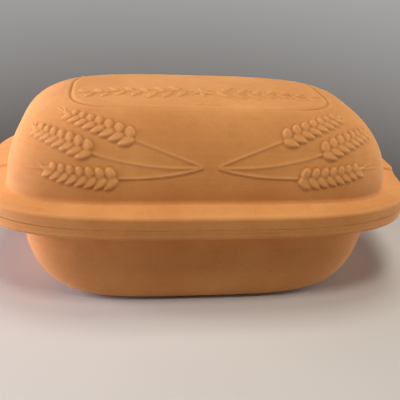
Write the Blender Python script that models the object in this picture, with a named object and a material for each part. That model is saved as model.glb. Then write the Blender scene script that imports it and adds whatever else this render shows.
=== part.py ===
"""Covered casserole dish: an open base dish and a domed lid, each one fired clay body.

Metres, +Z up. X runs along the dish, Y across it, and the origin is the centre of the
face that the dish rests on. Both bodies are lofted through level outlines, which are
superellipses, and each carries a pair of grip lugs at its ends.
"""

import math
from collections import namedtuple

import bmesh
import bpy

# Outlines, as half sizes along X and Y and the exponent that squares their corners
Outline = namedtuple("Outline", "half_length half_width exponent")

RIM = Outline(0.1720, 0.1025, 3.6)
LID_RIM = Outline(0.1712, 0.1018, 3.45)
DOME_FOOT = Outline(0.1480, 0.0840, 5.1)
DOME_SHOULDER = Outline(0.0930, 0.0472, 3.1)
WALL_HEAD = Outline(0.1400, 0.0846, 4.6)
BOTTOM_EDGE = Outline(0.1027, 0.0772, 4.3)
RESTING_FACE = Outline(0.0947, 0.0692, 4.3)
INSIDE_FLOOR = Outline(0.0967, 0.0695, 4.3)
MOUTH = Outline(0.1335, 0.0770, 4.6)

# Heights above the resting face
FOOT_HEIGHT = 0.0025
RIM_UNDERSIDE = 0.0667
SEAT = 0.0750
FLANGE_EDGE_TOP = 0.0848
DOME_FOOT_HEIGHT = 0.0876
SHOULDER_HEIGHT = 0.1481
CROWN_RISE = 0.0038

# How square the sections are: 2 is an ellipse, and more is squarer
DOME_END_SECTION = 2.15
DOME_SIDE_SECTION = 1.69
DISH_END_SECTION = 2.34
DISH_SIDE_SECTION = 2.55

# Walls and fits
WALL = 0.0080
FLOOR = 0.0090
SEAT_GAP = 0.0003
LIP_CLEARANCE = 0.0015
LIP_DEPTH = 0.0050
LIP_WIDTH = 0.0045

# Edge radii
DOME_FOOT_RADIUS = 0.0030
FLANGE_TOP_RADIUS = 0.0018
PARTING_RADIUS = 0.0010
UNDER_RIM_RADIUS = 0.0030
RIM_LOWER_RADIUS = 0.0015
MOUTH_RADIUS = 0.0020
LIP_RADIUS = 0.0015

# Grip lugs: low pads at both ends of each rim, raised on the lid
LUG_ROOT = 0.1500
LUG_REACH = 0.1745
LUG_HALF_WIDTH = 0.0155
LUG_RISE = 0.0018
LUG_PARTING = 0.0005
LUG_CORNER_RADIUS = 0.0050
LUG_EDGE_RADIUS = 0.0010
LUG_UPRIGHT = 0.0050

# Fineness
POINTS_PER_LOOP = 72
SECTION_STEPS = 8
ARC_STEPS = 3
CROWN_STEPS = 3
LUG_CORNER_SEGMENTS = 4
LUG_EDGE_SEGMENTS = 2
LUG_SHARP_ANGLE = math.radians(60.0)
SMOOTH_ANGLE = math.radians(35.0)

# Fired, unglazed red clay
CLAY_COLOUR = (0.58, 0.26, 0.10, 1.0)
CLAY_ROUGHNESS = 0.88
CLAY_METALLIC = 0.0

Level = namedtuple("Level", "outline height")


def clear_scene():
    """Remove the objects of the file the script runs in."""
    for item in list(bpy.data.objects):
        bpy.data.objects.remove(item, do_unlink=True)


def clay(name):
    """Matt fired clay."""
    material = bpy.data.materials.new(name)
    material.use_nodes = True
    shader = material.node_tree.nodes["Principled BSDF"]
    shader.inputs["Base Color"].default_value = CLAY_COLOUR
    shader.inputs["Roughness"].default_value = CLAY_ROUGHNESS
    shader.inputs["Metallic"].default_value = CLAY_METALLIC
    material.diffuse_color = CLAY_COLOUR
    return material


def grown(outline, amount):
    """The outline moved outwards by amount on every side."""
    return Outline(
        outline.half_length + amount,
        outline.half_width + amount,
        outline.exponent,
    )


def signed_power(value, power):
    """value to a power, with its sign kept."""
    return math.copysign(abs(value) ** power, value)


def outline_points(level):
    """Points round a superellipse at its height, counter-clockwise from +X."""
    outline = level.outline
    power = 2.0 / outline.exponent
    points = []
    for index in range(POINTS_PER_LOOP):
        angle = math.tau * index / POINTS_PER_LOOP
        x = outline.half_length * signed_power(math.cos(angle), power)
        y = outline.half_width * signed_power(math.sin(angle), power)
        points.append((x, y, level.height))
    return points


def arc_levels(outline, offset, height, radius, start, stop):
    """Levels round an edge: an arc about a centre offset outwards from the outline.

    Angles are in degrees, with 0 outwards and 90 up.
    """
    levels = []
    for step in range(ARC_STEPS + 1):
        angle = math.radians(start + (stop - start) * step / ARC_STEPS)
        out = offset + radius * math.cos(angle)
        levels.append(Level(grown(outline, out), height + radius * math.sin(angle)))
    return levels


def bowl_levels(foot, foot_height, end, end_height, end_section, side_section):
    """Levels of a bowl or a dome, from its upright foot to where it lies level."""
    levels = []
    for step in range(SECTION_STEPS + 1):
        angle = 0.5 * math.pi * step / SECTION_STEPS
        rise = math.sin(angle) ** (2.0 / end_section)
        at_end = max(0.0, 1.0 - rise**end_section) ** (1.0 / end_section)
        at_side = max(0.0, 1.0 - rise**side_section) ** (1.0 / side_section)
        outline = Outline(
            end.half_length + (foot.half_length - end.half_length) * at_end,
            end.half_width + (foot.half_width - end.half_width) * at_side,
            foot.exponent + (end.exponent - foot.exponent) * rise * rise,
        )
        levels.append(Level(outline, foot_height + (end_height - foot_height) * rise))
    return levels


def crown_levels(shoulder, height):
    """Levels of the shallow crown inside the shoulder, from the shoulder inwards."""
    levels = []
    for step in range(1, CROWN_STEPS + 1):
        share = 1.0 - step / (CROWN_STEPS + 1.0)
        outline = Outline(
            shoulder.half_length * share,
            shoulder.half_width * share,
            shoulder.exponent,
        )
        levels.append(Level(outline, height + CROWN_RISE * (1.0 - share * share)))
    return levels


def add_loop(mesh, level):
    """A closed loop of points along one level."""
    return [mesh.verts.new(point) for point in outline_points(level)]


def add_band(mesh, first, second):
    """A band of four-sided faces between two loops, point by point."""
    for index in range(POINTS_PER_LOOP):
        after = (index + 1) % POINTS_PER_LOOP
        mesh.faces.new((first[index], first[after], second[after], second[index]))


def cap(mesh, loop, peak_height):
    """Close a loop with a fan of faces whose middle is at peak_height."""
    face = mesh.faces.new(loop)
    middle = bmesh.ops.poke(mesh, faces=[face])["verts"][0]
    middle.co = (0.0, 0.0, peak_height)


def lofted_object(name, levels, first_peak, last_peak, material):
    """One closed body through the levels, capped at both ends."""
    mesh = bmesh.new()
    loops = [add_loop(mesh, level) for level in levels]
    for first, second in zip(loops, loops[1:]):
        add_band(mesh, first, second)
    cap(mesh, loops[0], first_peak)
    cap(mesh, loops[-1], last_peak)
    bmesh.ops.recalc_face_normals(mesh, faces=mesh.faces)
    data = bpy.data.meshes.new(name)
    mesh.to_mesh(data)
    mesh.free()
    data.shade_smooth()
    data.set_sharp_from_angle(angle=SMOOTH_ANGLE)
    data.materials.append(material)
    made = bpy.data.objects.new(name, data)
    bpy.context.collection.objects.link(made)
    return made


def upright(edge):
    """Whether an edge of a lug block runs up and down."""
    return abs(edge.verts[0].co.z - edge.verts[1].co.z) > LUG_UPRIGHT


def add_lug_block(mesh, side, bottom, top_at_root, top_at_reach):
    """A block at one end whose top slopes with the rim and whose free corners are round."""
    size = (LUG_REACH - LUG_ROOT, 2.0 * LUG_HALF_WIDTH, top_at_root - bottom)
    middle = (
        side * 0.5 * (LUG_REACH + LUG_ROOT),
        0.0,
        0.5 * (top_at_root + bottom),
    )
    verts = bmesh.ops.create_cube(mesh, size=1.0)["verts"]
    bmesh.ops.scale(mesh, vec=size, verts=verts)
    bmesh.ops.translate(mesh, vec=middle, verts=verts)
    free_verts = [vert for vert in verts if side * (vert.co.x - middle[0]) > 0.0]
    corners = [
        edge
        for edge in mesh.edges
        if edge.verts[0] in free_verts and edge.verts[1] in free_verts and upright(edge)
    ]
    for vert in free_verts:
        if vert.co.z > middle[2]:
            vert.co.z = top_at_reach
    bmesh.ops.bevel(
        mesh,
        geom=corners,
        offset=LUG_CORNER_RADIUS,
        segments=LUG_CORNER_SEGMENTS,
        affect="EDGES",
        profile=0.5,
    )


def round_lug_edges(mesh):
    """Round the edges of the top and the bottom faces of the lug blocks."""
    sharp = [
        edge
        for edge in mesh.edges
        if not upright(edge) and edge.calc_face_angle() > LUG_SHARP_ANGLE
    ]
    bmesh.ops.bevel(
        mesh,
        geom=sharp,
        offset=LUG_EDGE_RADIUS,
        segments=LUG_EDGE_SEGMENTS,
        affect="EDGES",
        profile=0.5,
    )


def add_lugs(body, bottom, top_at_root, top_at_reach):
    """Join a lug to each end of the body."""
    mesh = bmesh.new()
    for side in (-1.0, 1.0):
        add_lug_block(mesh, side, bottom, top_at_root, top_at_reach)
    round_lug_edges(mesh)
    bmesh.ops.recalc_face_normals(mesh, faces=mesh.faces)
    data = bpy.data.meshes.new(body.name + "_lug_shape")
    mesh.to_mesh(data)
    mesh.free()
    shape = bpy.data.objects.new(data.name, data)
    bpy.context.collection.objects.link(shape)
    shape.hide_render = True
    shape.display_type = "WIRE"
    shape.parent = body
    union = body.modifiers.new("lugs", "BOOLEAN")
    union.operation = "UNION"
    union.solver = "EXACT"
    union.object = shape


def base_dish(material):
    """The open dish: low set-in foot, rounded walls and a broad flat rim."""
    wall_top = RIM_UNDERSIDE - UNDER_RIM_RADIUS
    outside = bowl_levels(
        WALL_HEAD, wall_top, BOTTOM_EDGE, FOOT_HEIGHT, DISH_END_SECTION, DISH_SIDE_SECTION
    )
    outside.reverse()
    foot = [Level(RESTING_FACE, 0.0), Level(RESTING_FACE, FOOT_HEIGHT)]
    under_rim = arc_levels(
        WALL_HEAD, UNDER_RIM_RADIUS, wall_top, UNDER_RIM_RADIUS, 180.0, 90.0
    )
    lower_edge = arc_levels(
        RIM,
        -RIM_LOWER_RADIUS,
        RIM_UNDERSIDE + RIM_LOWER_RADIUS,
        RIM_LOWER_RADIUS,
        -90.0,
        0.0,
    )
    upper_edge = arc_levels(
        RIM, -PARTING_RADIUS, SEAT - PARTING_RADIUS, PARTING_RADIUS, 0.0, 90.0
    )
    mouth_edge = arc_levels(
        MOUTH, MOUTH_RADIUS, SEAT - MOUTH_RADIUS, MOUTH_RADIUS, 90.0, 180.0
    )
    inside = bowl_levels(
        MOUTH,
        SEAT - MOUTH_RADIUS,
        INSIDE_FLOOR,
        FLOOR,
        DISH_END_SECTION,
        DISH_SIDE_SECTION,
    )
    levels = foot + outside + under_rim[1:] + lower_edge + upper_edge + mouth_edge + inside[1:]
    body = lofted_object("base_dish", levels, 0.0, FLOOR, material)
    lug_top = SEAT - LUG_PARTING
    add_lugs(body, RIM_UNDERSIDE + LUG_PARTING, lug_top, lug_top)


def lid(material):
    """The domed lid: crown, dome, flange and the lip that keeps it in the mouth."""
    lid_seat = SEAT + SEAT_GAP
    dome = bowl_levels(
        DOME_FOOT,
        DOME_FOOT_HEIGHT + DOME_FOOT_RADIUS,
        DOME_SHOULDER,
        SHOULDER_HEIGHT,
        DOME_END_SECTION,
        DOME_SIDE_SECTION,
    )
    crown = crown_levels(DOME_SHOULDER, SHOULDER_HEIGHT)
    outside = list(reversed(dome + crown))
    foot = arc_levels(
        DOME_FOOT,
        DOME_FOOT_RADIUS,
        DOME_FOOT_HEIGHT + DOME_FOOT_RADIUS,
        DOME_FOOT_RADIUS,
        180.0,
        270.0,
    )
    flange_top = arc_levels(
        LID_RIM,
        -FLANGE_TOP_RADIUS,
        FLANGE_EDGE_TOP - FLANGE_TOP_RADIUS,
        FLANGE_TOP_RADIUS,
        90.0,
        0.0,
    )
    flange_bottom = arc_levels(
        LID_RIM, -PARTING_RADIUS, lid_seat + PARTING_RADIUS, PARTING_RADIUS, 0.0, -90.0
    )
    lip = grown(MOUTH, -LIP_CLEARANCE)
    lip_bottom = lid_seat - LIP_DEPTH
    lip_outside = arc_levels(
        lip, -LIP_RADIUS, lip_bottom + LIP_RADIUS, LIP_RADIUS, 0.0, -90.0
    )
    lip_inner = grown(lip, -LIP_WIDTH)
    lip_inside = arc_levels(
        lip_inner, LIP_RADIUS, lip_bottom + LIP_RADIUS, LIP_RADIUS, -90.0, -180.0
    )
    dome_inside = bowl_levels(
        grown(DOME_FOOT, -WALL),
        DOME_FOOT_HEIGHT + DOME_FOOT_RADIUS,
        grown(DOME_SHOULDER, -0.5 * WALL),
        SHOULDER_HEIGHT - WALL,
        DOME_END_SECTION,
        DOME_SIDE_SECTION,
    )
    crown_inside = crown_levels(grown(DOME_SHOULDER, -0.5 * WALL), SHOULDER_HEIGHT - WALL)
    levels = (
        outside
        + foot[1:]
        + flange_top
        + flange_bottom
        + [Level(lip, lid_seat)]
        + lip_outside
        + lip_inside
        + [Level(lip_inner, lid_seat)]
        + dome_inside
        + crown_inside
    )
    peak = SHOULDER_HEIGHT + CROWN_RISE
    body = lofted_object("lid", levels, peak, peak - WALL, material)
    add_lugs(
        body,
        lid_seat + LUG_PARTING,
        DOME_FOOT_HEIGHT + LUG_RISE,
        FLANGE_EDGE_TOP + LUG_RISE,
    )


def build():
    """The dish with its lid seated."""
    clear_scene()
    base_dish(clay("base_clay"))
    lid(clay("lid_clay"))


build()
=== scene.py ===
"""The looks of the covered casserole dish.

Each clay body is shown by one closed shell. A shell is a fine grid of points wrapped round
level outlines (superellipses) and down a section, with the moulded relief and the wear of
the clay added along its normals. Only the grid points that the shape needs become mesh.
"""

import math
from collections import namedtuple

import bpy
import numpy as np
from mathutils import Matrix, Vector


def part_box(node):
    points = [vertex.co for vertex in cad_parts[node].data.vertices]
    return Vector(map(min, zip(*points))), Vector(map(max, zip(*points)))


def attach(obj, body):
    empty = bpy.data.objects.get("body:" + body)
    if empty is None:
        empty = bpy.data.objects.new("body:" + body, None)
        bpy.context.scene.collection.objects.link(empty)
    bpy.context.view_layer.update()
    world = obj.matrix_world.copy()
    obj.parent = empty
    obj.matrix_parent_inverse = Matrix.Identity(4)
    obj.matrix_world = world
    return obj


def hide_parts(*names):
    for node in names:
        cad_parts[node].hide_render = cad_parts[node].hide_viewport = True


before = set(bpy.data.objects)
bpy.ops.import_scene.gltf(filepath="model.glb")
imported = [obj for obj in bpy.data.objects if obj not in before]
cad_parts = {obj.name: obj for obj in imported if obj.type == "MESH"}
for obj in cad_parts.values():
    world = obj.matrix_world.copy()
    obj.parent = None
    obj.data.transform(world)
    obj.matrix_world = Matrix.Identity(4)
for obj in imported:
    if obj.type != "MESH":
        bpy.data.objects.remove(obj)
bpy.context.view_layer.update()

LID_LOW, LID_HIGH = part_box("lid")
DISH_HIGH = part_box("base_dish")[1]
MM = 0.001

# Outlines, as half sizes along X and Y and the exponent that squares their corners.
# The lid's box gives the lugs' reach, and both boxes give the rims' widths. The rest is set
# in from the dish's rim.
Outline = namedtuple("Outline", "half_length half_width exponent")
LUG_REACH = LID_HIGH.x
RIM = Outline(LUG_REACH - 2.5 * MM, DISH_HIGH.y, 3.6)
LID_RIM = Outline(LUG_REACH - 3.3 * MM, LID_HIGH.y, 3.45)
DOME_FOOT = Outline(RIM.half_length - 24.0 * MM, RIM.half_width - 18.5 * MM, 5.1)
DOME_SHOULDER = Outline(RIM.half_length - 79.0 * MM, RIM.half_width - 55.3 * MM, 3.1)
WALL_HEAD = Outline(RIM.half_length - 32.0 * MM, RIM.half_width - 17.9 * MM, 4.6)
BOTTOM_EDGE = Outline(RIM.half_length - 69.3 * MM, RIM.half_width - 25.3 * MM, 4.3)
RESTING_FACE = Outline(RIM.half_length - 77.3 * MM, RIM.half_width - 33.3 * MM, 4.3)
INSIDE_FLOOR = Outline(RIM.half_length - 75.3 * MM, RIM.half_width - 33.0 * MM, 4.3)
MOUTH = Outline(RIM.half_length - 38.5 * MM, RIM.half_width - 25.5 * MM, 4.6)

# Heights. The lid's underside stands a hair off the dish's seat.
FOOT_HEIGHT = 2.5 * MM
SEAT = DISH_HIGH.z
LID_SEAT = SEAT + 0.08 * MM
RIM_UNDERSIDE = SEAT - 8.3 * MM
FLANGE_EDGE_TOP = SEAT + 9.8 * MM
DOME_FOOT_HEIGHT = SEAT + 12.6 * MM
CROWN_RISE = 3.8 * MM
CROWN_SINK = 1.1 * MM
SHOULDER_HEIGHT = LID_HIGH.z - CROWN_RISE
CROWN_ROUNDING = 1.5
# How far to each side, and in how many passes, the crown is eased into the dome
SHOULDER_SOFTENED_CELLS = 3
SHOULDER_PASSES = 40

# How square the sections are: 2 is an ellipse, and more is squarer
DOME_END_SECTION = 2.15
DOME_SIDE_SECTION = 1.69
DISH_END_SECTION = 2.34
DISH_SIDE_SECTION = 2.55

# Walls, fits and edges
WALL = 8.0 * MM
FLOOR = 9.0 * MM
LIP_CLEARANCE = 1.5 * MM
LIP_WIDTH = 4.5 * MM
LIP_BOTTOM = LID_LOW.z
LIP_RADIUS = 1.5 * MM
DOME_FOOT_RADIUS = 3.0 * MM
DOME_START = DOME_FOOT_HEIGHT + DOME_FOOT_RADIUS
FLANGE_TOP_RADIUS = 2.6 * MM
PARTING_RADIUS = 0.15 * MM
FLUSH_OUT = 0.1 * MM
UNDER_RIM_RADIUS = 3.0 * MM
RIM_LOWER_RADIUS = 1.5 * MM
MOUTH_RADIUS = 2.0 * MM
LOWER_EDGE_OUT = -1.5 * MM
BEAD_HEIGHT = 0.3 * MM
BEAD_PLACE = 0.80
BEAD_SPREAD = 0.14

# Grip lugs, with a short tapered flank beside each
LUG_ROOT = LUG_REACH - 24.5 * MM
LUG_HALF_WIDTH = 15.5 * MM
LUG_CORNER = 5.0 * MM
LUG_RISE = 1.8 * MM
LUG_FLANK = 2.2 * MM
LUG_FLANK_LENGTH = 15.0 * MM
LUG_EDGE = 1.2 * MM

# The fine grid, and how far the mesh may stray from it: in place, in the slant of its
# normals and in the roundness that the clay's colour follows
STEPS_PER_CELL = 16
CELLS_ROUND = 96
STEPS_ROUND = CELLS_ROUND * STEPS_PER_CELL
PLACE_TOLERANCE = 0.04 * MM
FACING_TOLERANCE = 0.10
ROUNDNESS_TOLERANCE = 0.35

# Wheat ears on one quarter of the dome. Places are shares of the dome's half length and
# of its height; an ear's axis runs from its base to its tip over the bend. Awns are given
# by their angle from the axis and their length.
Ear = namedtuple("Ear", "stalk_bend base bend tip awns")
KNOT = (0.030, 0.392)
EARS = (
    Ear(
        (0.190, 0.549),
        (0.348, 0.675),
        (0.503, 0.838),
        (0.700, 0.897),
        ((33.0, 11.0 * MM), (12.0, 16.0 * MM), (-13.0, 11.0 * MM)),
    ),
    Ear(
        (0.270, 0.344),
        (0.550, 0.530),
        (0.703, 0.695),
        (0.845, 0.712),
        ((50.0, 9.0 * MM), (20.0, 12.0 * MM), (-5.0, 11.0 * MM)),
    ),
    Ear(
        (0.190, 0.262),
        (0.427, 0.262),
        (0.600, 0.236),
        (0.795, 0.352),
        ((22.0, 12.0 * MM), (5.0, 14.0 * MM), (-13.0, 19.0 * MM)),
    ),
)

# The two rows of grains of an ear: how many, where the first and the last one sit as shares
# of the axis, how far above the axis, the size of the first one, its angle from the axis
# and how pointed it is
Row = namedtuple("Row", "count first last above length width angle point")
UPPER_GRAINS = Row(7, 0.095, 0.830, 0.2 * MM, 8.6 * MM, 7.2 * MM, 58.0, 0.55)
LOWER_GRAINS = Row(8, 0.060, 0.850, 0.6 * MM, 11.6 * MM, 7.4 * MM, -45.0, 0.80)

# How the grains crowd and shrink towards the tip, where across a grain its crest lies, how
# far it runs out on the soft side, how it rounds there and how high it stands
GRAIN_CROWDING = 0.15
GRAIN_TAPER = 0.74
GRAIN_CREST = 0.50
GRAIN_TAIL = 1.25
GRAIN_SLOPE = 0.85
GRAIN_HEIGHT = 1.75 * MM

# The last grain of an ear and the awns that start on it. Relief lower than the joined height
# is added to what it meets, and higher relief covers it.
LAST_GRAIN_PLACE = 0.86
LAST_GRAIN_SIZE = (8.0 * MM, 3.8 * MM)
LAST_GRAIN_TURN = 4.0
LAST_GRAIN_SHARE = 0.6
JOINED_HEIGHT = 0.05 * MM
AWN_ROOT = 0.6
AWN_WIDTH = 0.55 * MM
AWN_HEIGHT = 0.7 * MM

# A ridge's side grooves, as shares of its width and height
SIDE_GROOVE_PLACE = 1.8
SIDE_GROOVE_WIDTH = 0.8
SIDE_GROOVE_DEPTH = 0.38

# Stalks: a soft upper flank, a crisp lower one and a shallow groove under it
STALK_HEIGHT = 0.7 * MM
STALK_SOFT_SIDE = 1.3 * MM
STALK_CRISP_SIDE = 0.55 * MM
STALK_GROOVE = 1.3 * MM
STALK_GROOVE_DEPTH = 0.7
RELIEF_END = 3.0 * MM
STRAND_POINTS = 41
STRAND_REACH = 17.0 * MM

# Groove round the crown, with a low ridge inside it
GROOVE = Outline(101.0 * MM, 49.6 * MM, 4.2)
GROOVE_WIDTH = 0.9 * MM
GROOVE_DEPTH = 1.0 * MM
GROOVE_FAINT = 0.15
GROOVE_FADE = (62.0 * MM, 90.0 * MM)
RIDGE_INSET = 3.1 * MM
RIDGE_WIDTH = 1.6 * MM
RIDGE_HEIGHT = 0.20 * MM

# Leafy sprig on the crown: a rosette with a branch to each side of it. A leaf's shape is its
# point, its crest and its tail.
SPRIG_Y = -15.0 * MM
SPRIG_START = 15.0 * MM
SPRIG_STEP = 12.0 * MM
SPRIG_LEAVES = 7
SPRIG_WAVE = 2.2 * MM
SPRIG_HEIGHT = 1.15 * MM
STEM_WIDTH = 0.75 * MM
STEM_SHARE = 0.8
STEM_LEAD = 6.0 * MM
LEAF_LENGTH = 15.0 * MM
LEAF_WIDTH = 6.4 * MM
LEAF_ANGLE = 60.0
LEAF_SHAPE = (0.75, 0.0, 1.0)
LEAF_OFFSET = (2.4 * MM, 0.8 * MM)
LEAF_SHRINK = 0.05
VEIN_WIDTH = 0.5 * MM
VEIN_SHARE = 0.35
TIP_LEAF_SIZE = 0.8
PETALS = 6
PETAL_SIZE = 0.72
BOSS_RADIUS = 2.6 * MM
BOSS_SHARE = 1.1
SMALL_LEAVES = (-9.5 * MM, -2.5 * MM, 4.5 * MM)
SMALL_LEAF_Y = SPRIG_Y - 26.5 * MM
SMALL_LEAF_TURN = 8.0
SMALL_LEAF_SIZE = 0.45
SMALL_LEAF_SHARE = 0.6

# Unevenness of the hand-finished clay: long low waves, but not on the resting face, and
# small pits, but not on the part of the wall next to the foot
WAVE_COUNT = 7
WAVE_LENGTHS = (38.0 * MM, 95.0 * MM)
WAVE_HEIGHT = 0.22 * MM
PIT_COUNT = 16
PIT_WIDTHS = (0.45 * MM, 1.0 * MM)
PIT_DEPTHS = (0.25 * MM, 0.6 * MM)
UNPITTED_CELLS = 4
STANDING_HEIGHT = 1.0 * MM
LID_SEED = 11
DISH_SEED = 23

# How far apart points are compared for roundness, and the offset that counts as fully round
WEAR_STRIDE = 4
WEAR_SCALE = 0.28 * MM


# Levels of a section: rows of half length, half width, exponent and height


def level_rows(outline, out, height):
    """Levels at an outline moved outwards by out."""
    out, height = np.broadcast_arrays(np.asarray(out, float), np.asarray(height, float))
    half_length = outline.half_length + out
    half_width = outline.half_width + out
    exponent = np.full(out.shape, outline.exponent)
    return np.stack([half_length, half_width, exponent, height], axis=-1)


def grown(outline, amount):
    """The outline moved outwards by amount on every side."""
    return Outline(outline.half_length + amount, outline.half_width + amount, outline.exponent)


def inner_shoulder():
    """The dome's shoulder, on the inside of the lid."""
    return grown(DOME_SHOULDER, -0.5 * WALL)


def plate(edge, height):
    """A level plate from a line along its middle out to its edge."""

    def levels(share):
        spine = edge.half_length - edge.half_width
        half_width = edge.half_width * share
        exponent = 2.0 + (edge.exponent - 2.0) * share
        return np.stack([spine + half_width, half_width, exponent, np.full_like(share, height)], -1)

    return levels


def bowl_levels(rise, foot, foot_height, end, end_height, end_section, side_section):
    """Levels of a bowl or a dome at shares of its rise, from its upright foot to its end."""
    at_end = np.clip(1.0 - rise**end_section, 0.0, 1.0) ** (1.0 / end_section)
    at_side = np.clip(1.0 - rise**side_section, 0.0, 1.0) ** (1.0 / side_section)
    half_length = end.half_length + (foot.half_length - end.half_length) * at_end
    half_width = end.half_width + (foot.half_width - end.half_width) * at_side
    exponent = foot.exponent + (end.exponent - foot.exponent) * rise * rise
    height = foot_height + (end_height - foot_height) * rise
    return np.stack([half_length, half_width, exponent, height], axis=-1)


def bowl(foot, foot_height, end, end_height, end_section, side_section):
    """A bowl or a dome from its level end to its upright foot."""

    def levels(share):
        rise = np.cos(0.5 * math.pi * share) ** (2.0 / end_section)
        return bowl_levels(rise, foot, foot_height, end, end_height, end_section, side_section)

    return levels


def backwards(shape):
    """The same stretch the other way round."""
    return lambda share: shape(1.0 - share)


def arc(outline, offset, height, radius, start, stop):
    """A round edge about a centre offset outwards; 0 degrees is outwards and 90 is up."""

    def levels(share):
        angle = np.radians(start + (stop - start) * share)
        return level_rows(outline, offset + radius * np.cos(angle), height + radius * np.sin(angle))

    return levels


def corner(outline, height):
    """A sharp corner, which takes no rows of its own."""
    return lambda share: level_rows(outline, 0.0 * share, height)


def section_levels(stretches):
    """Levels at every fine row, and the rows of each stretch. None is bridged straight."""
    parts, rows, reached = [], {}, 0
    for index, (name, cells, shape) in enumerate(stretches):
        share = np.linspace(0.0, 1.0, cells * STEPS_PER_CELL + 1)
        if shape is None:
            first = stretches[index - 1][2](np.ones(1))
            last = stretches[index + 1][2](np.zeros(1))
            levels = first + (last - first) * share[:, None]
        else:
            levels = shape(share)
        parts.append(levels if index == 0 else levels[1:])
        rows[name] = slice(reached, reached + cells * STEPS_PER_CELL + 1)
        reached += cells * STEPS_PER_CELL
    return np.concatenate(parts), rows


# The fine grid


def unit_directions():
    """Points of the rim's unit superellipse at even steps along the rim, back to the first."""

    def on_unit(angle):
        x, y = np.cos(angle), np.sin(angle)
        size = (abs(x) ** RIM.exponent + abs(y) ** RIM.exponent) ** (-1.0 / RIM.exponent)
        return x * size, y * size

    angle = np.linspace(0.0, math.tau, 8 * STEPS_ROUND + 1)
    x, y = on_unit(angle)
    steps = np.hypot(np.diff(x) * RIM.half_length, np.diff(y) * RIM.half_width)
    travelled = np.concatenate([[0.0], np.cumsum(steps)])
    even = np.linspace(0.0, travelled[-1], STEPS_ROUND + 1)
    return on_unit(np.interp(even, travelled, angle))


def wrap(levels):
    """The fine grid of points, steps round by rows down, through the levels."""
    x, y = unit_directions()
    exponent = levels[:, 2]
    size = abs(x[:, None]) ** exponent + abs(y[:, None]) ** exponent
    size = size ** (-1.0 / exponent)
    height = np.broadcast_to(levels[:, 3], size.shape)
    return np.stack([levels[:, 0] * size * x[:, None], levels[:, 1] * size * y[:, None], height], -1)


def facings(points):
    """Outward unit normals of a fine grid."""
    ring = points[:-1]
    onward = np.roll(ring, -1, axis=0) - np.roll(ring, 1, axis=0)
    down = np.gradient(ring, axis=1)
    normals = np.cross(down, onward)
    length = np.linalg.norm(normals, axis=-1)
    flat = length < length.max() * 1e-9
    normals /= np.where(flat, 1.0, length)[..., None]
    for row, beside in ((0, 1), (-1, -2)):
        normals[flat[:, row], row] = normals[flat[:, row], beside]
    return np.concatenate([normals, normals[:1]])


def lift_crown(points, shoulder, rise):
    """Raise the rows of a plate into a shallow crown."""
    along = abs(points[..., 0] / shoulder.half_length) ** shoulder.exponent
    aside = abs(points[..., 1] / shoulder.half_width) ** shoulder.exponent
    share = np.clip((along + aside) ** (1.0 / shoulder.exponent), 0.0, 1.0)
    points[..., 2] += rise * (1.0 - share * share) ** CROWN_ROUNDING


def soften_rows(points, passes):
    """Even out rows that meet at a bend, between the first one and the last one."""
    for _ in range(passes):
        points[:, 1:-1] = 0.25 * points[:, :-2] + 0.5 * points[:, 1:-1] + 0.25 * points[:, 2:]


def smooth_share(value):
    """A share that starts and stops gently."""
    value = np.clip(value, 0.0, 1.0)
    return value * value * (3.0 - 2.0 * value)


def draw_lugs(points, rim, rise):
    """Pull both ends of a rim out to the lugs, and raise their tops by rise."""
    x, y, z = abs(points[..., 0]), abs(points[..., 1]), points[..., 2]
    rim_x = rim.half_length * np.clip(1.0 - (y / rim.half_width) ** rim.exponent, 0.0, 1.0) ** (
        1.0 / rim.exponent
    )
    aside = np.clip(y - (LUG_HALF_WIDTH - LUG_CORNER), 0.0, LUG_CORNER)
    lug_x = LUG_REACH - LUG_CORNER + np.sqrt(LUG_CORNER**2 - aside**2)
    flank = np.clip(1.0 - (y - LUG_HALF_WIDTH) / LUG_FLANK_LENGTH, 0.0, 1.0)
    flank_x = rim_x + LUG_FLANK * flank * flank
    lug_x = np.where(y < LUG_HALF_WIDTH, np.maximum(lug_x, flank_x), flank_x)
    share = np.clip((x - LUG_ROOT) / np.maximum(rim_x - LUG_ROOT, MM), 0.0, 1.0)
    drawn = x + share * (lug_x - rim_x)
    beyond_x = drawn - (LUG_REACH - LUG_CORNER)
    beyond_y = y - (LUG_HALF_WIDTH - LUG_CORNER)
    edge = np.hypot(np.maximum(beyond_x, 0.0), np.maximum(beyond_y, 0.0))
    edge = edge + np.minimum(np.maximum(beyond_x, beyond_y), 0.0) - LUG_CORNER
    slope = (FLANGE_EDGE_TOP - DOME_FOOT_HEIGHT) / (LUG_REACH - LUG_ROOT)
    pad_top = DOME_FOOT_HEIGHT + rise + slope * (drawn - LUG_ROOT)
    upper = smooth_share((z - LID_SEAT) / (FLANGE_EDGE_TOP - FLANGE_TOP_RADIUS - LID_SEAT))
    lift = np.clip(pad_top - z, 0.0, rise) * smooth_share(-edge / LUG_EDGE) * upper
    points[..., 0] = np.sign(points[..., 0]) * drawn
    points[..., 2] = z + np.where(x > DOME_FOOT.half_length, lift, 0.0)


# Relief


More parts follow.
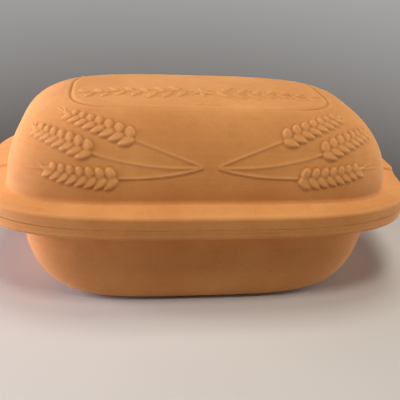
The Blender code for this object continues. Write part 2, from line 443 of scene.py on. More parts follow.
def grain(along, across, seat, angle, size, height, shape):
    """A plump grain, pointed by its tip, that rises gently to a crest on its side towards
    the stem and drops steeply from there. shape is its point, its crest and its tail."""
    point, crest, tail = shape
    length, width = size
    turn = math.radians(angle)
    ahead = (along - seat[0]) * math.cos(turn) + (across - seat[1]) * math.sin(turn)
    aside = (across - seat[1]) * math.cos(turn) - (along - seat[0]) * math.sin(turn)
    share = np.clip(ahead / length, 0.0, 1.0)
    fullest = 0.5 / (0.5 + point)
    fullness = (share / fullest) ** 0.5 * ((1.0 - share) / (1.0 - fullest)) ** point
    offset = math.copysign(1.0, angle) * aside / np.maximum(0.5 * width * fullness, 1e-9)
    steep = offset > crest
    gap = np.where(steep, (offset - crest) / (1.0 - crest), (crest - offset) / (crest + tail))
    rounding = np.where(steep, 0.5, GRAIN_SLOPE)
    return height * fullness**0.5 * np.clip(1.0 - gap * gap, 0.0, 1.0) ** rounding


def ridge(distance, width):
    """A low round ridge with a shallow groove along each side."""
    beside = (abs(distance) - SIDE_GROOVE_PLACE * width) / (SIDE_GROOVE_WIDTH * width)
    return np.exp(-((distance / width) ** 2)) - SIDE_GROOVE_DEPTH * np.exp(-(beside**2))


def stalk_profile(across):
    """The section of a stalk, with its soft flank upwards."""
    side = np.where(across > 0.0, STALK_SOFT_SIDE, STALK_CRISP_SIDE)
    groove_gap = (across + STALK_GROOVE) / STALK_CRISP_SIDE
    return np.exp(-((across / side) ** 2)) - STALK_GROOVE_DEPTH * np.exp(-(groove_gap**2))


Strand = namedtuple("Strand", "places onward aside travelled")


def on_dome(along, up):
    """Points of the dome's front at shares of its half length and of its height."""
    levels = bowl_levels(
        up,
        DOME_FOOT,
        DOME_START,
        DOME_SHOULDER,
        SHOULDER_HEIGHT,
        DOME_END_SECTION,
        DOME_SIDE_SECTION,
    )
    half_length, half_width, exponent, height = levels.T
    x = along * DOME_FOOT.half_length
    y = -half_width * (1.0 - (abs(x) / half_length) ** exponent) ** (1.0 / exponent)
    return np.stack([x, y, height], axis=-1)


def strand(start, bend, stop):
    """A curved line over the dome's front, with its directions along and across."""
    share = np.linspace(0.0, 1.0, STRAND_POINTS)[:, None]
    start, bend, stop = np.array(start), np.array(bend), np.array(stop)
    flat = (1.0 - share) ** 2 * start + 2.0 * share * (1.0 - share) * bend + share**2 * stop
    places = on_dome(flat[:, 0], flat[:, 1])
    nudge = 1e-4
    across = on_dome(flat[:, 0] + nudge, flat[:, 1]) - places
    upward = on_dome(flat[:, 0], flat[:, 1] + nudge) - places
    outward = np.cross(across, upward)
    onward = np.gradient(places, axis=0)
    onward /= np.linalg.norm(onward, axis=1)[:, None]
    aside = np.cross(outward, onward)
    aside /= np.linalg.norm(aside, axis=1)[:, None]
    steps = np.linalg.norm(np.diff(places, axis=0), axis=1)
    return Strand(places, onward, aside, np.concatenate([[0.0], np.cumsum(steps)]))


def beside_strand(points, line):
    """The points near a strand, and their distances along it and to its side."""
    low = line.places.min(axis=0) - STRAND_REACH
    high = line.places.max(axis=0) + STRAND_REACH
    near = np.flatnonzero(((points > low) & (points < high)).all(axis=1))
    gaps = points[near][:, None, :] - line.places[None]
    closest = (gaps**2).sum(axis=-1).argmin(axis=1)
    gap = gaps[np.arange(len(near)), closest]
    along = line.travelled[closest] + (gap * line.onward[closest]).sum(axis=-1)
    across = (gap * line.aside[closest]).sum(axis=-1)
    return near, along, across


def add_stalk(height, points, ear):
    """A thin raised stalk from the knot to the ear."""
    line = strand(KNOT, ear.stalk_bend, ear.base)
    near, along, across = beside_strand(points, line)
    length = line.travelled[-1]
    ends = smooth_share(along / RELIEF_END)
    ends = ends * smooth_share((length + RELIEF_END - along) / RELIEF_END)
    made = STALK_HEIGHT * ends * stalk_profile(across)
    height[near] = np.where(made > height[near], made, height[near] + np.minimum(made, 0.0))


def add_ear(height, points, ear):
    """Two rows of grains along the ear's axis, and the awns at its tip."""
    line = strand(ear.base, ear.bend, ear.tip)
    near, along, across = beside_strand(points, line)
    axis = line.travelled[-1]
    made = np.zeros(len(near))
    for row in (LOWER_GRAINS, UPPER_GRAINS):
        for index in range(row.count):
            share = index / (row.count - 1.0)
            eased = share + GRAIN_CROWDING * share * (1.0 - share)
            scale = 1.0 + (GRAIN_TAPER - 1.0) * share
            place = axis * (row.first + (row.last - row.first) * eased)
            size = (row.length * scale, row.width * scale)
            shape = (row.point, GRAIN_CREST, GRAIN_TAIL)
            seat = (place, row.above)
            drop = grain(along, across, seat, row.angle, size, GRAIN_HEIGHT * scale, shape)
            made = np.maximum(made, drop)
    place, high = LAST_GRAIN_PLACE * axis, LAST_GRAIN_SHARE * GRAIN_HEIGHT
    turn = LAST_GRAIN_TURN
    last = grain(along, across, (place, 0.0), turn, LAST_GRAIN_SIZE, high, LEAF_SHAPE)
    made = np.maximum(made, last)
    root = place + AWN_ROOT * LAST_GRAIN_SIZE[0]
    for angle, length in ear.awns:
        made += awn(along, across, (root, 0.0), angle, length)
    joined = np.maximum(height[near], made)
    height[near] = np.where(made > JOINED_HEIGHT, joined, height[near] + made)


def awn(along, across, seat, angle, length):
    """A fine bristle that runs out from the ear's tip."""
    turn = math.radians(angle)
    ahead = (along - seat[0]) * math.cos(turn) + (across - seat[1]) * math.sin(turn)
    aside = (across - seat[1]) * math.cos(turn) - (along - seat[0]) * math.sin(turn)
    share = ahead / length
    ends = smooth_share(4.0 * share) * smooth_share(2.0 * (1.0 - share))
    return AWN_HEIGHT * ends * ridge(aside, AWN_WIDTH)


def groove(points):
    """The groove round the crown and the low ridge inside it."""
    along, aside = abs(points[:, 0]) / GROOVE.half_length, abs(points[:, 1]) / GROOVE.half_width
    power = GROOVE.exponent
    level = np.maximum((along**power + aside**power) ** (1.0 / power), 0.1)
    slope_x = (along / level) ** (power - 1.0) / GROOVE.half_length
    slope_y = (aside / level) ** (power - 1.0) / GROOVE.half_width
    distance = (level - 1.0) / np.hypot(slope_x, slope_y)
    fade = smooth_share((abs(points[:, 0]) - GROOVE_FADE[0]) / (GROOVE_FADE[1] - GROOVE_FADE[0]))
    cut = GROOVE_DEPTH * np.exp(-((distance / GROOVE_WIDTH) ** 2))
    raised = RIDGE_HEIGHT * np.exp(-(((distance + RIDGE_INSET) / RIDGE_WIDTH) ** 2))
    return (raised - cut) * (GROOVE_FAINT + (1.0 - GROOVE_FAINT) * fade)


def leaf(x, y, seat, angle, size):
    """A leaf of the sprig with a sunk vein along its middle."""
    turn = math.radians(angle)
    aside = (y - seat[1]) * math.cos(turn) - (x - seat[0]) * math.sin(turn)
    blade_size = (LEAF_LENGTH * size, LEAF_WIDTH * size)
    blade = grain(x, y, seat, angle, blade_size, SPRIG_HEIGHT, LEAF_SHAPE)
    return blade * (1.0 - VEIN_SHARE * np.exp(-((aside / VEIN_WIDTH) ** 2)))


def sprig(points):
    """A rosette with a leafy branch to each side, and three small leaves in front of it."""
    x, y = abs(points[:, 0]), points[:, 1] - SPRIG_Y
    turns = math.tau / (4.0 * SPRIG_STEP)
    reach = SPRIG_START + SPRIG_STEP * (SPRIG_LEAVES - 1)
    ends = smooth_share((reach - x) / RELIEF_END)
    ends = ends * smooth_share((x - SPRIG_START + STEM_LEAD) / RELIEF_END)
    stem = ridge(y - SPRIG_WAVE * np.sin(turns * x), STEM_WIDTH)
    made = STEM_SHARE * SPRIG_HEIGHT * ends * stem
    for index in range(SPRIG_LEAVES):
        place = SPRIG_START + SPRIG_STEP * index
        bend = SPRIG_WAVE * math.sin(turns * place)
        for side in (-1.0, 1.0):
            seat = (place + LEAF_OFFSET[0] * side, bend + LEAF_OFFSET[1] * side)
            size = 1.0 - LEAF_SHRINK * index
            made = np.maximum(made, leaf(x, y, seat, side * LEAF_ANGLE, size))
    made = np.maximum(made, leaf(x, y, (reach - 1.0 * MM, 0.0), 2.0, TIP_LEAF_SIZE))
    for index in range(PETALS):
        angle = 360.0 * (index + 0.5) / PETALS - 180.0
        made = np.maximum(made, leaf(points[:, 0], y, (0.0, 0.0), angle, PETAL_SIZE))
    boss = np.clip(1.0 - (np.hypot(points[:, 0], y) / BOSS_RADIUS) ** 2, 0.0, 1.0)
    made = np.maximum(made, BOSS_SHARE * SPRIG_HEIGHT * np.sqrt(boss))
    for place in SMALL_LEAVES:
        seat = (place, SMALL_LEAF_Y - SPRIG_Y)
        small = leaf(points[:, 0], y, seat, SMALL_LEAF_TURN, SMALL_LEAF_SIZE)
        made = np.maximum(made, SMALL_LEAF_SHARE * small)
    return made


def lid_relief(points):
    """Height of the moulded relief at points of the dome and the crown."""
    folded = np.stack([abs(points[:, 0]), -abs(points[:, 1]), points[:, 2]], axis=-1)
    height = np.zeros(len(points))
    for ear in EARS:
        add_stalk(height, folded, ear)
    for ear in EARS:
        add_ear(height, folded, ear)
    return height + groove(points) + sprig(points)


# Wear, and the roundness that the worn edges and the painted shade in hollows follow


def clay_waves(points, generator):
    """Slight unevenness, never above the true surface."""
    total = np.zeros(points.shape[:-1])
    for _ in range(WAVE_COUNT):
        direction = generator.normal(size=3)
        direction /= np.linalg.norm(direction)
        length = generator.uniform(*WAVE_LENGTHS)
        total += np.sin(math.tau * (points @ direction) / length + generator.uniform(0.0, math.tau))
    return 0.5 * WAVE_HEIGHT * (total / WAVE_COUNT - 1.0)


def clay_pits(points, rows, generator):
    """Small pits where grit broke out of the clay, on some of the rows."""
    depth = np.zeros(points.shape[:-1])
    for _ in range(PIT_COUNT):
        step = generator.integers(0, STEPS_ROUND)
        row = generator.integers(rows.start, rows.stop)
        width = generator.uniform(*PIT_WIDTHS)
        deep = generator.uniform(*PIT_DEPTHS)
        gap = np.linalg.norm(points - points[step, row], axis=-1)
        depth -= deep * np.exp(-((gap / width) ** 2))
    return depth


def roundness(points, normals):
    """How far each point stands out from the points round it, from -1 to 1."""
    ring, facing = points[:-1], normals[:-1]
    middle = np.roll(ring, WEAR_STRIDE, axis=0) + np.roll(ring, -WEAR_STRIDE, axis=0)
    padded = np.pad(ring, ((0, 0), (WEAR_STRIDE, WEAR_STRIDE), (0, 0)), mode="edge")
    middle += padded[:, : -2 * WEAR_STRIDE] + padded[:, 2 * WEAR_STRIDE :]
    stands = ((ring - 0.25 * middle) * facing).sum(axis=-1) / WEAR_SCALE
    stands = np.clip(stands, -1.0, 1.0)
    return np.concatenate([stands, stands[:1]])


# Mesh


def bends(field, cells, size):
    """How far the field bends inside each cell, round the outline and down the section."""
    steps, rows = np.arange(size[0] + 1), np.arange(size[1] + 1)
    round_at = cells[:, 0, None, None] + steps[None, :, None]
    down_at = cells[:, 1, None, None] + rows[None, None, :]
    patch = field[round_at, down_at]
    share = (steps / size[0])[None, :, None, None]
    straight = patch[:, :1] + (patch[:, -1:] - patch[:, :1]) * share
    bend_round = np.abs(patch - straight).reshape(len(cells), -1).max(axis=1)
    share = (rows / size[1])[None, None, :, None]
    straight = patch[:, :, :1] + (patch[:, :, -1:] - patch[:, :, :1]) * share
    bend_down = np.abs(patch - straight).reshape(len(cells), -1).max(axis=1)
    return bend_round, bend_down


def halved(cells, side):
    """Both halves of each cell, across its side 2 or its side 3."""
    first, second = cells.copy(), cells.copy()
    first[:, side] //= 2
    second[:, side] -= first[:, side]
    second[:, side - 2] += first[:, side]
    return np.concatenate([first, second])


def fitted_cells(points, normals, stands):
    """Cells of the fine grid, halved wherever the shape bends inside them.

    A cell is its first step, its first row, its steps and its rows.
    """
    looks = stands[..., None] / ROUNDNESS_TOLERANCE
    field = [points / PLACE_TOLERANCE, normals / FACING_TOLERANCE, looks]
    field = np.concatenate(field, axis=-1).astype(np.float32)
    first = np.arange(0, points.shape[0] - 1, STEPS_PER_CELL)
    top = np.arange(0, points.shape[1] - 1, STEPS_PER_CELL)
    cells = np.stack(np.meshgrid(first, top, indexing="ij"), axis=-1).reshape(-1, 2)
    cells = np.concatenate([cells, np.full_like(cells, STEPS_PER_CELL)], axis=1)
    done = []
    while len(cells):
        waiting = []
        for size in np.unique(cells[:, 2:], axis=0):
            group = cells[(cells[:, 2:] == size).all(axis=1)]
            bend_round, bend_down = bends(field, group, size)
            by_round = (bend_round > 1.0) & (bend_round >= bend_down) & (size[0] > 1)
            by_down = ~by_round & (bend_down > 1.0) & (size[1] > 1)
            by_round |= ~by_down & (bend_round > 1.0) & (size[0] > 1)
            waiting.append(halved(group[by_round], 2))
            waiting.append(halved(group[by_down], 3))
            done.append(group[~by_round & ~by_down])
        cells = np.concatenate(waiting)
    return np.concatenate(done)


def mesh_places(cells, shape):
    """A grid of mesh point numbers: -1 where no cell has a corner."""
    steps, rows = shape[0] - 1, shape[1] - 1
    used = np.zeros(shape, bool)
    for side_round in (0, 1):
        for side_down in (0, 1):
            at_round = cells[:, 0] + side_round * cells[:, 2]
            at_down = cells[:, 1] + side_down * cells[:, 3]
            used[at_round % steps, at_down] = True
    for row in (0, rows):
        used[1:steps, row] |= used[steps - 1 : 0 : -1, row]
        used[steps // 2 + 1 : steps, row] = False
    numbers = np.full(shape, -1)
    numbers[used] = np.arange(used.sum())
    for row in (0, rows):
        numbers[steps // 2 + 1 : steps, row] = numbers[steps // 2 - 1 : 0 : -1, row]
    numbers[steps] = numbers[0]
    return used, numbers


def cell_outline(numbers, cell):
    """The mesh points round a cell, with those that finer neighbours put on its sides."""
    left, top, steps, rows = cell
    right, bottom = left + steps, top + rows
    sides = (
        numbers[left, top:bottom],
        numbers[left:right, bottom],
        numbers[right, bottom:top:-1],
        numbers[right:left:-1, top],
    )
    walk = np.concatenate(sides)
    return walk[walk >= 0].tolist()


def shell(name, points, down, material):
    """A closed mesh object over a fine grid, with what its clay needs to know."""
    normals = facings(points)
    stands = roundness(points, normals)
    cells = fitted_cells(points, normals, stands)
    used, numbers = mesh_places(cells, points.shape[:2])
    outlines = [cell_outline(numbers, cell) for cell in cells]
    data = bpy.data.meshes.new(name)
    data.from_pydata(points[used].tolist(), [], outlines)
    data.shade_smooth()
    data.normals_split_custom_set_from_vertices(normals[used].tolist())
    for label, values in (("roundness", stands), ("down", np.broadcast_to(down, stands.shape))):
        attribute = data.attributes.new(label, "FLOAT", "POINT")
        attribute.data.foreach_set("value", values[used].astype(np.float32))
    data.materials.append(material)
    made = bpy.data.objects.new(name, data)
    bpy.context.collection.objects.link(made)
    return made


def travelled_down(levels):
    """Distance down the section to each row, measured at the middle of a long side."""
    steps = np.hypot(np.diff(levels[:, 1]), np.diff(levels[:, 3]))
    return np.concatenate([[0.0], np.cumsum(steps)])


# The two bodies


def lid_stretches():
    """The lid's section, from the crown over the dome and the flange to the inside."""
    lip = grown(MOUTH, -LIP_CLEARANCE)
    lip_inside = grown(lip, -LIP_WIDTH)
    inner_foot, inner_end = grown(DOME_FOOT, -WALL), inner_shoulder()
    lip_low = LIP_BOTTOM + LIP_RADIUS
    edge = FLANGE_EDGE_TOP - FLANGE_TOP_RADIUS
    parting = LID_SEAT + PARTING_RADIUS
    ceiling = SHOULDER_HEIGHT - WALL
    sections = (DOME_END_SECTION, DOME_SIDE_SECTION)
    return [
        ("crown", 6, plate(DOME_SHOULDER, SHOULDER_HEIGHT)),
        ("dome", 10, bowl(DOME_FOOT, DOME_START, DOME_SHOULDER, SHOULDER_HEIGHT, *sections)),
        ("foot", 1, arc(DOME_FOOT, DOME_FOOT_RADIUS, DOME_START, DOME_FOOT_RADIUS, 180.0, 270.0)),
        ("flange", 2, None),
        ("flange_edge", 1, arc(LID_RIM, -FLANGE_TOP_RADIUS, edge, FLANGE_TOP_RADIUS, 90.0, 0.0)),
        ("side", 1, None),
        ("parting", 1, arc(LID_RIM, -PARTING_RADIUS, parting, PARTING_RADIUS, 0.0, -90.0)),
        ("seat", 3, None),
        ("lip_root", 0, corner(lip, LID_SEAT)),
        ("lip_outer_face", 1, None),
        ("lip_outer_edge", 1, arc(lip, -LIP_RADIUS, lip_low, LIP_RADIUS, 0.0, -90.0)),
        ("lip_inner_edge", 1, arc(lip_inside, LIP_RADIUS, lip_low, LIP_RADIUS, -90.0, -180.0)),
        ("lip_inner_face", 1, None),
        ("lip_inner_root", 0, corner(lip_inside, LID_SEAT)),
        ("haunch", 1, None),
        ("inside", 6, backwards(bowl(inner_foot, DOME_START, inner_end, ceiling, *sections))),
        ("inner_crown", 3, backwards(plate(inner_end, ceiling))),
    ]


def make_lid(material):
    """The lid's shell, with its relief."""
    levels, rows = section_levels(lid_stretches())
    points = wrap(levels)
    lift_crown(points[:, rows["crown"]], DOME_SHOULDER, CROWN_RISE - CROWN_SINK)
    lift_crown(points[:, rows["inner_crown"]], inner_shoulder(), CROWN_RISE)
    shoulder, softened = rows["dome"].start, SHOULDER_SOFTENED_CELLS * STEPS_PER_CELL
    soften_rows(points[:, shoulder - softened : shoulder + softened], SHOULDER_PASSES)
    draw_lugs(points[:, rows["foot"].start : rows["seat"].stop], LID_RIM, LUG_RISE)
    normals = facings(points)
    generator = np.random.default_rng(LID_SEED)
    height = clay_waves(points, generator)
    outer = slice(rows["crown"].start, rows["dome"].stop)
    outside = points[:, outer]
    moulded = lid_relief(outside.reshape(-1, 3)).reshape(outside.shape[:-1])
    height[:, outer] += soften_relief(moulded)
    exposed = slice(rows["dome"].start, rows["flange"].stop)
    height += clay_pits(points, exposed, generator)
    points += normals * height[..., None]
    return shell("lid_shell", points, travelled_down(levels), material)


def soften_relief(height):
    """Take the sharpness off the relief, as a worn mould does."""
    ring = height[:-1]
    ring = 0.25 * np.roll(ring, 1, axis=0) + 0.5 * ring + 0.25 * np.roll(ring, -1, axis=0)
    soften_rows(ring, 1)
    return np.concatenate([ring, ring[:1]])


def rim_side(share):
    """The dish's rim from its upper edge down: flush with the lid above, and with a faint
    bead low down."""
    high, low = SEAT - PARTING_RADIUS, RIM_UNDERSIDE + RIM_LOWER_RADIUS
    height = high + (low - high) * share
    first = level_rows(grown(LID_RIM, FLUSH_OUT), 0.0 * share, height)
    last = level_rows(grown(RIM, LOWER_EDGE_OUT), 0.0 * share, height)
    bead = BEAD_HEIGHT * np.exp(-(((share - BEAD_PLACE) / BEAD_SPREAD) ** 2))
    levels = first + (last - first) * smooth_share(share)[:, None]
    levels[:, :2] += bead[:, None]
    return levels


def dish_stretches():
    """The dish's section, from its floor over the inside and the rim to its set-in foot."""
    wall_top = RIM_UNDERSIDE - UNDER_RIM_RADIUS
    sections = (DISH_END_SECTION, DISH_SIDE_SECTION)
    mouth_top = SEAT - MOUTH_RADIUS
    upper = SEAT - PARTING_RADIUS
    lower = RIM_UNDERSIDE + RIM_LOWER_RADIUS
    upper_rim, lower_rim = grown(LID_RIM, FLUSH_OUT), grown(RIM, LOWER_EDGE_OUT)
    return [
        ("floor", 3, plate(INSIDE_FLOOR, FLOOR)),
        ("inside", 8, bowl(MOUTH, mouth_top, INSIDE_FLOOR, FLOOR, *sections)),
        ("mouth_edge", 1, arc(MOUTH, MOUTH_RADIUS, mouth_top, MOUTH_RADIUS, 180.0, 90.0)),
        ("seat", 3, None),
        ("upper_edge", 1, arc(upper_rim, -PARTING_RADIUS, upper, PARTING_RADIUS, 90.0, 0.0)),
        ("rim_side", 1, rim_side),
        ("lower_edge", 1, arc(lower_rim, -RIM_LOWER_RADIUS, lower, RIM_LOWER_RADIUS, 0.0, -90.0)),
        ("rim_underside", 2, None),
        ("under_rim", 1, arc(WALL_HEAD, UNDER_RIM_RADIUS, wall_top, UNDER_RIM_RADIUS, 90.0, 180.0)),
        ("wall", 9, backwards(bowl(WALL_HEAD, wall_top, BOTTOM_EDGE, FOOT_HEIGHT, *sections))),
        ("under_wall", 1, None),
        ("foot_root", 0, corner(RESTING_FACE, FOOT_HEIGHT)),
        ("foot", 1, None),
        ("underside", 3, backwards(plate(RESTING_FACE, 0.0))),
    ]


def make_dish(material):
    """The dish's shell."""
    levels, rows = section_levels(dish_stretches())
    points = wrap(levels)
    draw_lugs(points[:, rows["seat"].start : rows["rim_underside"].stop], RIM, 0.0)
    normals = facings(points)
    generator = np.random.default_rng(DISH_SEED)
    height = clay_waves(points, generator)
    height = np.where(points[..., 2] < STANDING_HEIGHT, 0.0, height)
    exposed = slice(rows["rim_side"].start, rows["wall"].stop - UNPITTED_CELLS * STEPS_PER_CELL)
    height += clay_pits(points, exposed, generator)
    points += normals * height[..., None]
    return shell("dish_shell", points, travelled_down(levels), material)


# Materials

CLAY_LIGHT = (0.740, 0.330, 0.092)
CLAY_BASE = (0.665, 0.268, 0.066)
CLAY_DARK = (0.470, 0.165, 0.038)
CLAY_DUST = (0.760, 0.420, 0.180)
# painted shade: the dark colour laid into the small pits
CLAY_PIT_SHADE = (0.260, 0.090, 0.035)

# How fine the clay's patterns are, in repeats a metre
MOTTLE_SCALE = 22.0
CLOUD_SCALE = 90.0
GRAIN_SCALE = 1400.0
SPECK_SCALE = 420.0
RARE_SCALE = 170.0
WIPED_SCALE_ALONG = 9.0
WIPED_SCALE_DOWN = 520.0

# How strongly each pattern shows in the colour
CLOUD_SHARE = 0.22
STREAK_SHARE = 0.30
GRAIN_SHARE = 0.30
WORN_SHARE = 0.25
# painted shade: how far the hollows round and between the relief are darkened
HOLLOW_SHADE_SHARE = 0.50
# painted shade: how dark the small pits are painted
PIT_SHADE_SHARE = 0.7

# How deep each pattern looks, as a bump's strength and distance
GRAIN_BUMP = (0.55, 0.22 * MM)
STREAK_BUMP = (0.35, 0.30 * MM)
SPECK_BUMP = (0.8, 0.35 * MM)


class Tree:
    """A material's nodes, made and joined by short calls."""

    def __init__(self, material):
        material.use_nodes = True
        self.nodes = material.node_tree.nodes
        self.links = material.node_tree.links

    def add(self, kind, inputs=(), **settings):
        """A node with its settings; an input takes a value or another node's output."""
        made = self.nodes.new("ShaderNode" + kind)
        for name, value in settings.items():
            setattr(made, name, value)
        for name, value in dict(inputs).items():
            if isinstance(value, bpy.types.NodeSocket):
                self.links.new(value, made.inputs[name])
            else:
                made.inputs[name].default_value = value
        return made

    def noise(self, vector, scale, detail, roughness):
        """Soft noise around 0.5."""
        inputs = {"Vector": vector, "Scale": scale, "Detail": detail, "Roughness": roughness}
        return self.add("TexNoise", inputs).outputs["Fac"]

    def spread(self, value, low, high, to_low=0.0, to_high=1.0):
        """value stretched from low..high to to_low..to_high."""
        inputs = {
            "Value": value,
            "From Min": low,
            "From Max": high,
            "To Min": to_low,
            "To Max": to_high,
        }
        return self.add("MapRange", inputs).outputs["Result"]

    def sum(self, first, second, operation="ADD"):
        """Two values put together."""
        return self.add("Math", {0: first, 1: second}, operation=operation).outputs[0]

    def mix(self, share, first, second):
        """A colour between two colours."""
        made = self.add("Mix", data_type="RGBA")
        sockets = (("Factor_Float", share), ("A_Color", first), ("B_Color", second))
        for name, value in sockets:
            socket = next(item for item in made.inputs if item.identifier == name)
            if isinstance(value, bpy.types.NodeSocket):
                self.links.new(value, socket)
            else:
                socket.default_value = value if name == "Factor_Float" else (*value, 1.0)
        return next(item for item in made.outputs if item.identifier == "Result_Color")

    def bump(self, height, strength, distance, normal=None):
        """A normal tilted by a height."""
        inputs = {"Height": height, "Strength": strength, "Distance": distance}
        if normal is not None:
            inputs["Normal"] = normal
        return self.add("Bump", inputs).outputs["Normal"]


def fired_clay(name):
    """Matt fired clay: mottled, finely grained, wiped along its rims, worn at its edges, with
    painted shade in its hollows and small pits.
    """
    material = bpy.data.materials.new(name)
    tree = Tree(material)
    place = tree.add("TexCoord").outputs["Object"]
    stands = tree.add("Attribute", attribute_name="roundness").outputs["Fac"]
    down = tree.add("Attribute", attribute_name="down").outputs["Fac"]
    split = tree.add("SeparateXYZ", {"Vector": place})
    wiped = tree.add(
        "CombineXYZ",
        {
            "X": tree.sum(split.outputs["X"], WIPED_SCALE_ALONG, "MULTIPLY"),
            "Y": tree.sum(split.outputs["Y"], WIPED_SCALE_ALONG, "MULTIPLY"),
            "Z": tree.sum(down, WIPED_SCALE_DOWN, "MULTIPLY"),
        },
    ).outputs["Vector"]
    mottle = tree.noise(place, MOTTLE_SCALE, 4.0, 0.55)
    cloud = tree.noise(place, CLOUD_SCALE, 3.0, 0.6)
    grain_noise = tree.noise(place, GRAIN_SCALE, 3.0, 0.65)
    streaks = tree.noise(wiped, 1.0, 3.0, 0.6)
    specks = tree.add("TexVoronoi", {"Vector": place, "Scale": SPECK_SCALE}, feature="F1")
    speck = tree.spread(specks.outputs["Distance"], 0.16, 0.06)
    rare = tree.spread(tree.noise(place, RARE_SCALE, 1.0, 0.5), 0.56, 0.62)
    speck = tree.sum(speck, rare, "MULTIPLY")

    colour = tree.mix(tree.spread(mottle, 0.35, 0.65), CLAY_BASE, CLAY_LIGHT)
    colour = tree.mix(tree.spread(cloud, 0.45, 0.75, 0.0, CLOUD_SHARE), colour, CLAY_DARK)
    colour = tree.mix(tree.spread(streaks, 0.40, 0.70, 0.0, STREAK_SHARE), colour, CLAY_LIGHT)
    grainy = tree.spread(grain_noise, 0.45, 0.75, 0.0, GRAIN_SHARE)
    colour = tree.mix(grainy, colour, CLAY_DARK)
    colour = tree.mix(tree.spread(stands, 0.10, 0.90, 0.0, WORN_SHARE), colour, CLAY_DUST)
    # painted shade in the hollows round and between the grains, leaves and grooves
    colour = tree.mix(tree.spread(stands, -0.30, -1.0, 0.0, HOLLOW_SHADE_SHARE), colour, CLAY_DARK)
    # painted shade: the small pits are darkened to stand in for the shade inside them
    colour = tree.mix(tree.sum(speck, PIT_SHADE_SHARE, "MULTIPLY"), colour, CLAY_PIT_SHADE)

    fine = tree.bump(grain_noise, *GRAIN_BUMP)
    wiping = tree.bump(streaks, *STREAK_BUMP, fine)
    pitted = tree.bump(tree.sum(1.0, speck, "SUBTRACT"), *SPECK_BUMP, wiping)
    shader = tree.nodes["Principled BSDF"]
    tree.links.new(colour, shader.inputs["Base Color"])
    tree.links.new(pitted, shader.inputs["Normal"])
    tree.links.new(tree.spread(cloud, 0.3, 0.7, 0.82, 0.94), shader.inputs["Roughness"])
    shader.inputs["Diffuse Roughness"].default_value = 0.6
    shader.inputs["Specular IOR Level"].default_value = 0.40
    shader.inputs["Sheen Weight"].default_value = 0.07
    shader.inputs["Sheen Roughness"].default_value = 0.5
    return material


# Stage

FLOOR_COLOUR = (0.520, 0.478, 0.436)
FLOOR_RADIUS = 3.0
FLOOR_SIDES = 64
FLOOR_ROUGHNESS = 0.55
FLOOR_CLOUD_SCALE = 2.0
FLOOR_CLOUD_GAIN = 1.06
FLOOR_DROP = 0.2 * MM
BACKDROP_RADIUS = 0.285
BACKDROP_HEIGHT = 1.5
BACKDROP_SIDES = 96
# The backdrop's glow colours: painted shade at its foot and painted light higher up
BACKDROP_PAINTED_SHADE = (0.105, 0.090, 0.083)
BACKDROP_PAINTED_LIGHT = (0.400, 0.392, 0.385)
BACKDROP_FADE = 0.22
ROOM_LIGHT = (0.01, 0.01, 0.01)

CAMERA_TARGET = Vector((6.4 * MM, 0.0, 48.6 * MM))
CAMERA_DISTANCE = 500.2 * MM
CAMERA_YAW = math.radians(-8.99)
CAMERA_PITCH = math.radians(26.20)
CAMERA_ROLL = math.radians(3.745)
CAMERA_LENS = 50.75
CAMERA_SENSOR = 36.0

Lamp = namedtuple("Lamp", "name place size power colour")
LAMPS = (
    Lamp("ceiling_middle", (0.00, 0.05, 1.45), 0.55, 8.6, (1.0, 0.98, 0.90)),
    Lamp("ceiling_front", (-0.06, -0.48, 1.20), 0.25, 6.0, (1.0, 0.98, 0.88)),
    Lamp("window_left", (-0.78, -0.02, 0.18), 0.42, 8.8, (1.0, 1.0, 1.20)),
    Lamp("fill_front", (0.00, -1.20, 0.35), 0.60, 0.5, (1.0, 1.0, 1.00)),
    Lamp("fill_right", (0.80, -0.08, 0.20), 0.45, 3.4, (1.0, 1.0, 1.03)),
)


def circle(radius, sides, height):
    """Points of a level circle."""
    turns = np.linspace(0.0, math.tau, sides, endpoint=False)
    places = [radius * np.cos(turns), radius * np.sin(turns), np.full(sides, height)]
    return np.stack(places, axis=-1).tolist()


def make_floor():
    """A plain pale floor."""
    data = bpy.data.meshes.new("floor")
    rim = circle(FLOOR_RADIUS, FLOOR_SIDES, -FLOOR_DROP)
    data.from_pydata(rim, [], [range(FLOOR_SIDES)])
    floor = bpy.data.objects.new("floor", data)
    bpy.context.collection.objects.link(floor)
    material = bpy.data.materials.new("floor")
    tree = Tree(material)
    place = tree.add("TexCoord").outputs["Object"]
    cloud = tree.noise(place, FLOOR_CLOUD_SCALE, 3.0, 0.5)
    paler = tuple(FLOOR_CLOUD_GAIN * value for value in FLOOR_COLOUR)
    colour = tree.mix(tree.spread(cloud, 0.35, 0.65), FLOOR_COLOUR, paler)
    shader = tree.nodes["Principled BSDF"]
    tree.links.new(colour, shader.inputs["Base Color"])
    shader.inputs["Roughness"].default_value = FLOOR_ROUGHNESS
    data.materials.append(material)


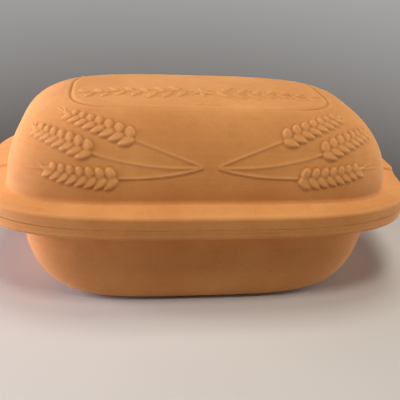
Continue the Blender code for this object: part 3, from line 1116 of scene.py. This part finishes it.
def make_backdrop():
    """A grey wall round the dish that glows: painted light, with painted shade darkening it towards
    its foot. Its near half is clear, and it lights nothing.
    """
    data = bpy.data.meshes.new("backdrop")
    count = BACKDROP_SIDES
    low = circle(BACKDROP_RADIUS, count, -FLOOR_DROP)
    high = circle(BACKDROP_RADIUS, count, BACKDROP_HEIGHT)
    faces = []
    for index in range(count):
        beside = (index + 1) % count
        faces.append((index, index + count, beside + count, beside))
    data.from_pydata(low + high, [], faces)
    data.shade_smooth()
    backdrop = bpy.data.objects.new("backdrop", data)
    bpy.context.collection.objects.link(backdrop)
    backdrop.visible_shadow = False
    backdrop.visible_diffuse = False
    backdrop.visible_glossy = False
    material = bpy.data.materials.new("backdrop")
    tree = Tree(material)
    place = tree.add("TexCoord").outputs["Object"]
    up = tree.add("SeparateXYZ", {"Vector": place}).outputs["Z"]
    # painted shade at the wall's foot fading into painted light above it
    colour = tree.mix(tree.spread(up, 0.0, BACKDROP_FADE), BACKDROP_PAINTED_SHADE, BACKDROP_PAINTED_LIGHT)
    glow = tree.add("Emission", {"Color": colour}).outputs[0]
    clear = tree.add("BsdfTransparent").outputs[0]
    near_side = tree.add("NewGeometry").outputs["Backfacing"]
    seen = tree.add("MixShader", {0: near_side, 1: glow, 2: clear}).outputs[0]
    tree.links.new(seen, tree.nodes["Material Output"].inputs["Surface"])
    data.materials.append(material)


def make_world():
    """Faint light from all round."""
    world = bpy.data.worlds.new("studio")
    bpy.context.scene.world = world
    tree = Tree(world)
    tree.nodes["Background"].inputs["Color"].default_value = (*ROOM_LIGHT, 1.0)


def make_lamp(lamp):
    """A square soft light that faces the dish."""
    data = bpy.data.lights.new(lamp.name, "AREA")
    data.energy = lamp.power
    data.size = lamp.size
    data.color = lamp.colour
    made = bpy.data.objects.new(lamp.name, data)
    made.location = lamp.place
    made.visible_camera = False
    made.rotation_euler = (CAMERA_TARGET - made.location).to_track_quat("-Z", "Y").to_euler()
    bpy.context.collection.objects.link(made)


def make_camera():
    """The camera, turned a little round its own line of sight."""
    back = Vector(
        (
            math.sin(CAMERA_YAW) * math.cos(CAMERA_PITCH),
            -math.cos(CAMERA_YAW) * math.cos(CAMERA_PITCH),
            math.sin(CAMERA_PITCH),
        )
    )
    data = bpy.data.cameras.new("camera")
    data.lens = CAMERA_LENS
    data.sensor_width = CAMERA_SENSOR
    data.clip_start = 0.01
    made = bpy.data.objects.new("camera", data)
    level = back.to_track_quat("Z", "Y").to_matrix()
    turned = level @ Matrix.Rotation(CAMERA_ROLL, 3, "Z")
    made.matrix_world = Matrix.Translation(CAMERA_TARGET + CAMERA_DISTANCE * back) @ turned.to_4x4()
    bpy.context.collection.objects.link(made)
    bpy.context.scene.camera = made


lid = make_lid(fired_clay("lid_clay"))
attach(lid, "lid_body")
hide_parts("lid")

dish = make_dish(fired_clay("dish_clay"))
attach(dish, "dish_body")
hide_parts("base_dish")

make_floor()
make_backdrop()
make_world()
for each_lamp in LAMPS:
    make_lamp(each_lamp)
make_camera()
bpy.context.scene.view_settings.view_transform = "Standard"
